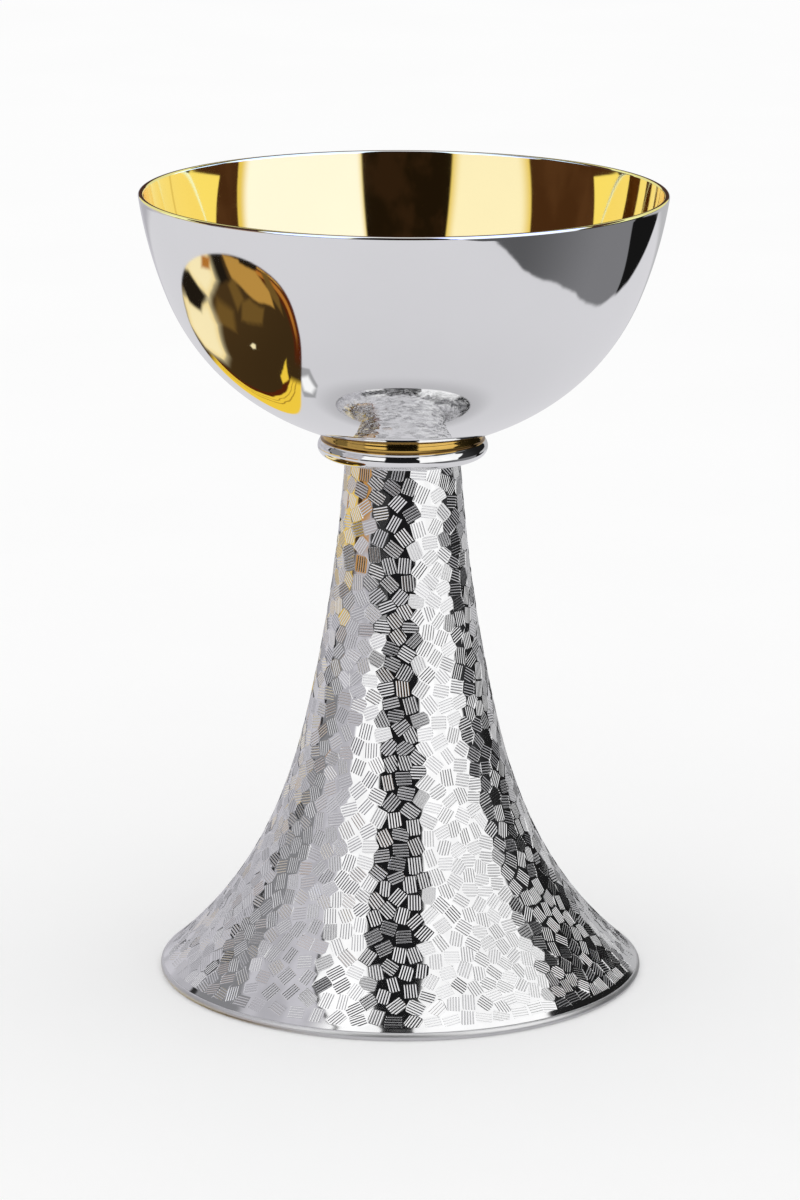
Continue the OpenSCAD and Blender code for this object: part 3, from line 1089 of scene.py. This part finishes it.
def studio(t, way):
    """The colour that a mirror sees in a direction."""
    az, el = bearings(t, way)
    cloud = t.noise(way, 5.0, 3, 0.5)
    sky = left_side(t, az, el, cloud, varied(t, cloud, WALL, 0.88))
    sky = other_plate(t, az, el, sky)
    sky = right_side(t, az, el, sky)
    sky = camera_gap(t, az, el, sky)
    low = dish(t, way, table_top(t, az, el))
    return t.mix(t.edge(el, HORIZON, 2), low, sky)


def build_world():
    """Mirrors see the studio, everything else plain white."""
    world = bpy.data.worlds.new("studio")
    bpy.context.scene.world = world
    world.use_nodes = True
    world.cycles.sampling_method = "NONE"
    t = Tree(world.node_tree)
    seen = studio(t, t.node("ShaderNodeTexCoord").outputs["Generated"])
    seen = t.mix(t.node("ShaderNodeLightPath").outputs["Is Glossy Ray"], (1.0, 1.0, 1.0), seen)
    background = t.node("ShaderNodeBackground")
    t.feed(background.inputs[0], seen)
    t.finish(background, "World")


def stage_object(name, verts, faces):
    mesh = bpy.data.meshes.new(name)
    mesh.from_pydata(verts, [], faces)
    made = bpy.data.objects.new(name, mesh)
    bpy.context.scene.collection.objects.link(made)
    return made


def view_ray(t, geometry):
    """The direction that the ray is travelling in."""
    return t.scaled(geometry.outputs["Incoming"], -1)


# ---------------- hood over the mouth
# The gilt inside had surroundings of its own in the photo, so an unseen hood holds them above the mouth. It
# is a lid with a short skirt, lit on its inside only and seen only by mirrors.
HOOD_LIFT, HOOD_GAP, HOOD_DROP = 13.3 * MM, 2 * MM, 3 * MM
HOOD_SIDES = 96
PLAIN_SHEET, TOP_SHEET, RIGHT_SHEET = (0.82, 0.76, 0.30), (0.9, 0.9, 0.88), (1.03, 1.20, 1.75)
CREAM_SHEET, YELLOW_SHEET = (1.08, 1.33, 2.45), (0.99, 0.99, 0.44)
# light that has met the gilding twice or more is already yellow, so these are bluer
SECOND, SECOND_LINE, THIRD = (1.02, 1.30, 1.50), (0.80, 0.95, 0.90), (1.05, 1.60, 3.0)


def direct_light(t, az, el, dark):
    """What the gilding shows in one reflection: bright sheets between dark ones."""
    side = t.math("ABSOLUTE", az)
    dark_left, dark_right = t.add(t.mul(el, 0.67), 77.1), t.sub(-55.5, t.mul(el, 0.5))
    hot_left = t.mul(t.step(az, 18, 22), t.step(t.sub(dark_left, az), 1.3, 7.8))
    hot_right = t.mul(t.step(t.sub(az, dark_right), -1, 7), t.step(az, -21, -27))
    seen = t.mix(hot_right, t.mix(hot_left, PLAIN_SHEET, CREAM_SHEET), RIGHT_SHEET)
    # past the dark sheets come yellow ones, which end just above the rim
    left_end, right_end = t.add(t.mul(el, 1.33), 85.6), t.add(t.mul(el, 0.93), 91.7)
    dark_end = t.add(right_end, t.mul(t.edge(az, 0, 1), t.sub(left_end, right_end)))
    seen = t.mix(t.band(side, dark_end, 128, 1.0), seen, YELLOW_SHEET)
    seen = t.mix(t.band(az, dark_left, left_end, 1.2), seen, dark)
    seen = t.mix(t.band(az, t.mul(right_end, -1), dark_right, 1.2), seen, dark)
    low_dark = t.sub(5.0, t.mul(t.sub(side, 92), 0.21))
    seen = t.over(seen, dark, t.band(side, 81.8, 128, 1.2), t.below(el, low_dark, 0.4))
    return t.mix(t.edge(side, 162, 1.2), seen, dark)


def repeated_light(t, az, thrice, dark):
    """What it shows in two reflections or more, at the ends of the mouth: stripes on the right."""
    right = t.edge(az, 0, 1)
    second = t.mix(t.band(az, 74, 77, 1), SECOND, SECOND_LINE)
    stripes = t.mul(t.sub(1, t.band(az, -80, -60, 1)), t.below(t.math("ABSOLUTE", az), 94, 1))
    second = t.mix(right, t.mix(stripes, dark, SECOND), second)
    third = t.mix(right, t.mix(t.band(az, -90, -70, 2), dark, THIRD), THIRD)
    return t.mix(thrice, second, third)


def build_hood():
    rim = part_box("cup_shell")[1]
    radius = rim.x + HOOD_GAP
    n = HOOD_SIDES
    ring = [(math.cos(i * TURN / n) * radius, math.sin(i * TURN / n) * radius) for i in range(n)]
    verts = [(x, y, z) for z in (rim.z - HOOD_DROP, rim.z + HOOD_LIFT) for x, y in ring]
    faces = [(i, (i + 1) % n, n + (i + 1) % n, n + i) for i in range(n)] + [list(range(n, 2 * n))]
    hood = stage_object("mouth_hood", verts, faces)
    for ray in ("camera", "diffuse", "transmission", "shadow", "volume_scatter"):
        setattr(hood, "visible_" + ray, False)
    m, t = material("mouth_hood")
    geometry = t.node("ShaderNodeNewGeometry")
    way = view_ray(t, geometry)
    az, el = bearings(t, way)
    cloud = t.noise(way, 4.0, 3, 0.5)
    dark = t.mix(t.step(cloud, 0.4, 0.65), (0.062, 0.030, 0.020), (0.085, 0.044, 0.032))
    # light that slants across the hood has met the gilding more than once
    x, y, _ = t.parts(geometry.outputs["Position"])
    reach = t.length(x, y)
    slant = t.sub(t.math("ABSOLUTE", azimuth(t, x, y)), t.math("ABSOLUTE", az))
    twice = t.mul(t.step(slant, 51, 53), t.step(reach, radius * 0.68, radius * 0.74))
    thrice = t.mul(t.step(slant, 62.2, 63.2), t.step(reach, radius * 0.985, radius * 0.995))
    seen = t.mix(twice, direct_light(t, az, el, dark), repeated_light(t, az, thrice, dark))
    slit = t.mix(t.step(cloud, 0.45, 0.6), (0.013, 0.009, 0.007), (0.028, 0.017, 0.014))
    seen = t.mix(t.band(az, -22, 19.3, 1.2), seen, slit)
    seen = t.mix(t.step(el, 60, 80), seen, TOP_SHEET)
    inside = t.mul(geometry.outputs["Backfacing"], t.edge(el, 1, 0.2))
    t.finish_between(inside, t.node("ShaderNodeBsdfTransparent"), t.glow(seen))
    hood.data.materials.append(m)


# ---------------- floor
FLOOR_HALF = 6.0
CONTACT_WIDE, CONTACT_DARK = 0.030, 0.78   # the chalice's soft shadow, as the metal sees it


def build_floor():
    """Pale paper to the eye; in the polished metal, the table with the chalice's own soft shadow."""
    corners = [(x * FLOOR_HALF, y * FLOOR_HALF, 0) for x, y in ((-1, -1), (1, -1), (1, 1), (-1, 1))]
    floor = stage_object("floor", corners, [(0, 1, 2, 3)])
    m, t = material("floor_paper")
    geometry = t.node("ShaderNodeNewGeometry")
    x, y, _ = t.parts(geometry.outputs["Position"])
    base_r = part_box("foot_base_ring")[1].x
    shade = t.step(t.length(x, y), base_r, base_r + CONTACT_WIDE, CONTACT_DARK, 1.0)
    table = t.scaled(studio(t, view_ray(t, geometry)), shade)
    paper = t.node("ShaderNodeBsdfDiffuse")
    grain = t.noise(t.node("ShaderNodeTexCoord").outputs["Object"], 9.0, 3, 0.5)
    t.feed(paper.inputs[0], t.mix(t.step(grain, 0.3, 0.7), (0.972, 0.972, 0.972), (0.98, 0.98, 0.98)))
    t.finish_between(t.node("ShaderNodeLightPath").outputs["Is Glossy Ray"], paper, t.glow(table))
    floor.data.materials.append(m)


# ---------------- camera
# Solved from the photo's ellipses and outlines: a long lens, 1.2 m away, that looks down by 14 degrees.
CAMERA_AT = (0, -1.2019, 0.3978)
CAMERA_LENS, CAMERA_SENSOR = 148.98, 36
CAMERA_PITCH, CAMERA_ROLL = math.radians(14.134), math.radians(0.27)
CAMERA_SHIFT = -2 / 1200   # the chalice stands 2 of the picture's 1200 pixels right of the middle


def build_camera():
    data = bpy.data.cameras.new("camera")
    camera = bpy.data.objects.new("camera", data)
    bpy.context.scene.collection.objects.link(camera)
    bpy.context.scene.camera = camera
    data.sensor_width = CAMERA_SENSOR
    data.sensor_fit = "AUTO"
    data.lens = CAMERA_LENS
    data.shift_x = CAMERA_SHIFT
    ahead = Vector((0, math.cos(CAMERA_PITCH), -math.sin(CAMERA_PITCH)))
    right = Vector((1, 0, 0))
    up = right.cross(ahead)
    c, s = math.cos(CAMERA_ROLL), math.sin(CAMERA_ROLL)
    right, up = right * c + up * s, up * c - right * s
    turned_to = Matrix((right, up, -ahead)).transposed().to_4x4()
    camera.matrix_world = Matrix.Translation(CAMERA_AT) @ turned_to


build_world()
build_hood()
build_floor()
build_camera()
bpy.context.scene.view_settings.view_transform = "Standard"
bpy.context.scene.cycles.max_bounces = 16
bpy.context.scene.cycles.glossy_bounces = 12
